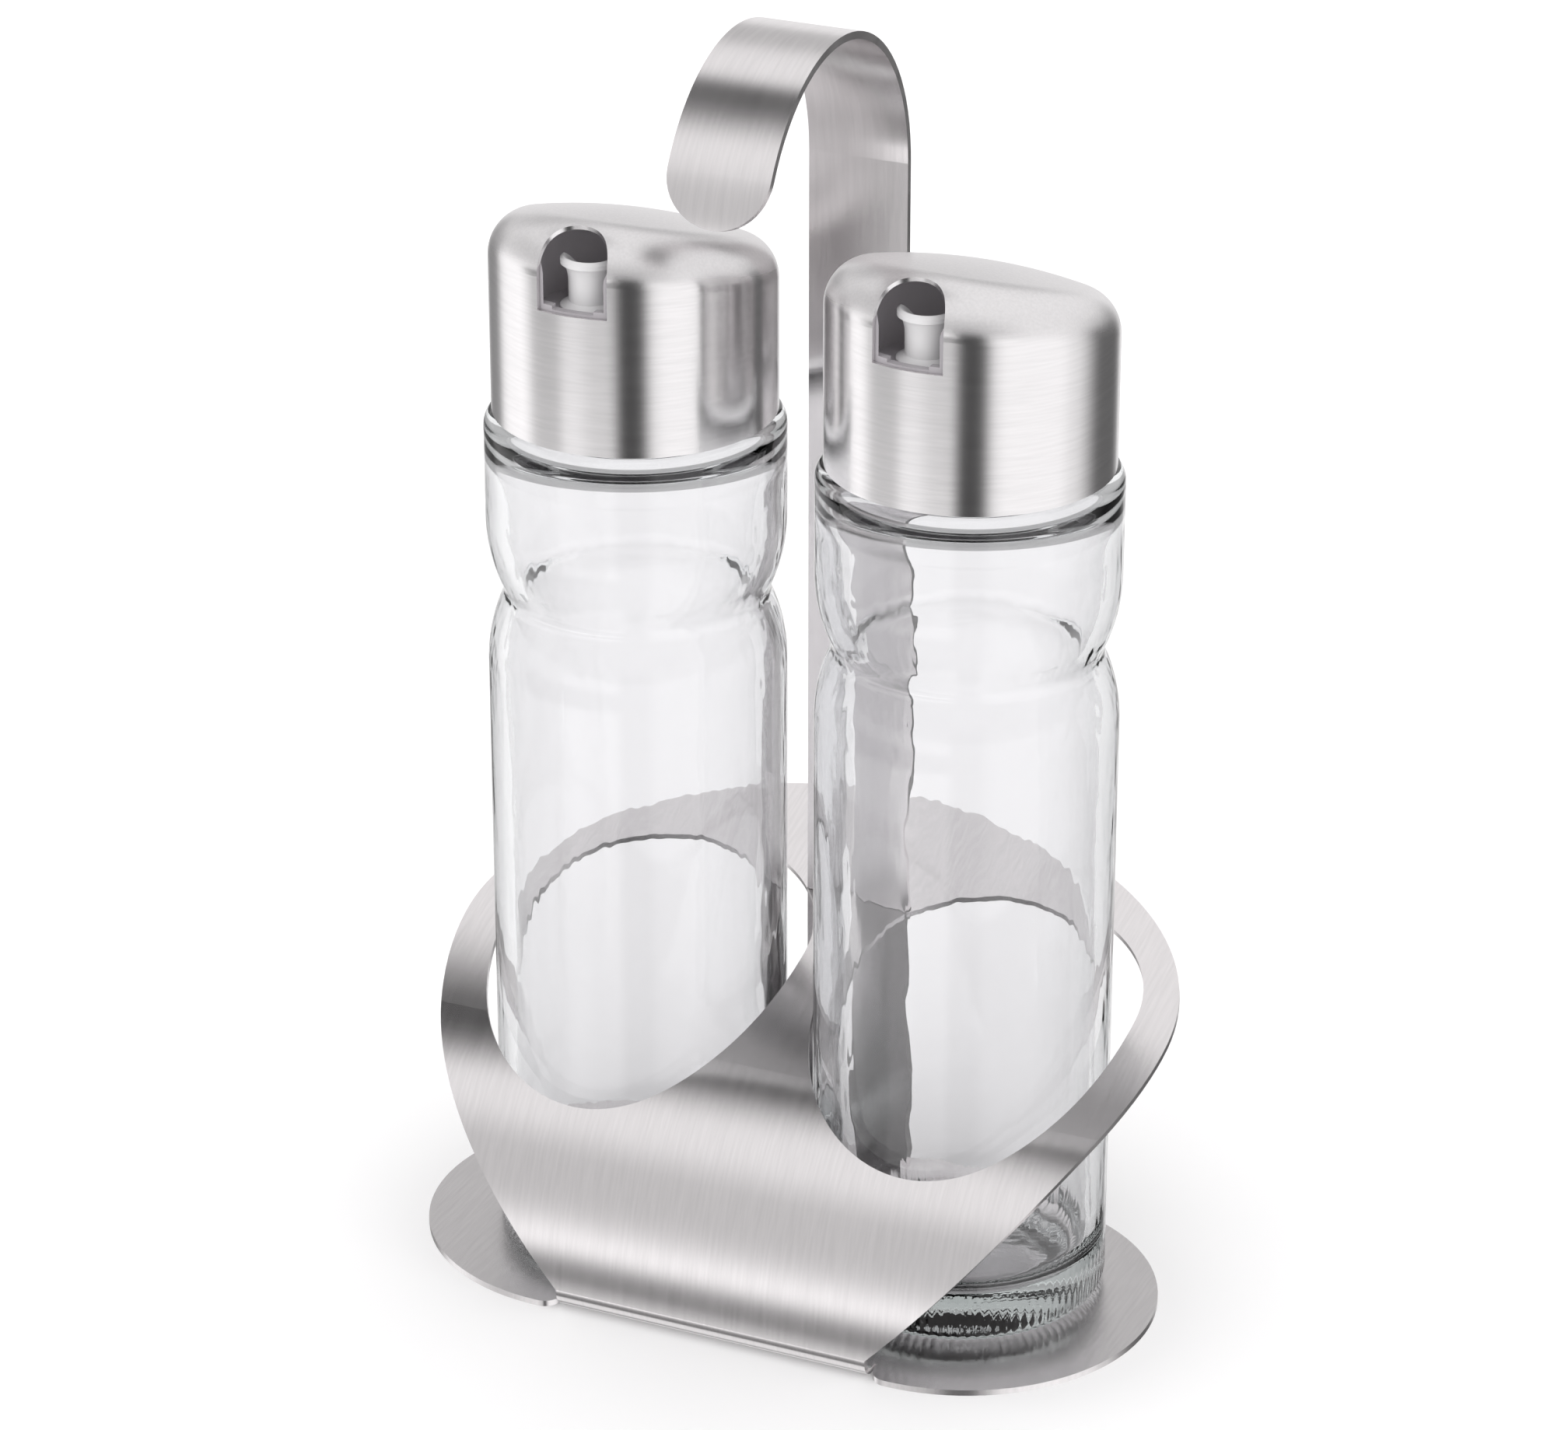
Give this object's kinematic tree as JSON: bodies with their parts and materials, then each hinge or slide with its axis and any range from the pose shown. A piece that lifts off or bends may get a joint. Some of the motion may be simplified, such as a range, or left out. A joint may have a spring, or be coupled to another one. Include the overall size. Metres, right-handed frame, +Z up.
{
  "type": "cruet set",
  "caption": "Oil and vinegar cruets with slanted steel caps in a folded steel stand with a strap handle.",
  "frame": {"origin": "middle of the underside of the set's overall box, on the table", "axes": "+Z up, +X along the row of bottles to the right as seen from the front, front of the set faces -Y"},
  "size_m": [0.126, 0.0848, 0.2116],
  "materials": {
    "steel_stand": "brushed",
    "steel_strap": "brushed",
    "steel_cap": "satin",
    "clear_glass": "polished",
    "grey_plastic": "matte",
    "pale_plastic": "satin",
    "soft_seal": "matte"
  },
  "bodies": {
    "stand": {"stand_frame": "steel_stand", "strap_handle": "steel_strap"},
    "left_cruet": {"left_bottle": "clear_glass"},
    "left_cap": {"left_cap_shell": "steel_cap", "left_cap_insert": "grey_plastic", "left_pour_spout": "pale_plastic", "left_seal_ring": "soft_seal"},
    "right_cruet": {"right_bottle": "clear_glass"},
    "right_cap": {"right_cap_shell": "steel_cap", "right_cap_insert": "grey_plastic", "right_pour_spout": "pale_plastic", "right_seal_ring": "soft_seal"}
  },
  "joints": [
    {"name": "left_cruet_lift_out", "type": "hinge", "parent": "stand", "child": "left_cruet", "pos_m": [-1.4285, -0.006, 0.02], "axis": [0, -1, 0], "range_deg": [0, 4.1]},
    {"name": "left_cap_pull_off", "type": "slide", "parent": "left_cruet", "child": "left_cap", "axis": [0, 0, 1], "range_m": [0, 0.025]},
    {"name": "right_cruet_lift_out", "type": "hinge", "parent": "stand", "child": "right_cruet", "pos_m": [1.4285, -0.006, 0.02], "axis": [0, 1, 0], "range_deg": [0, 4.1]},
    {"name": "right_cap_pull_off", "type": "slide", "parent": "right_cruet", "child": "right_cap", "axis": [0, 0, 1], "range_m": [0, 0.025]}
  ]
}
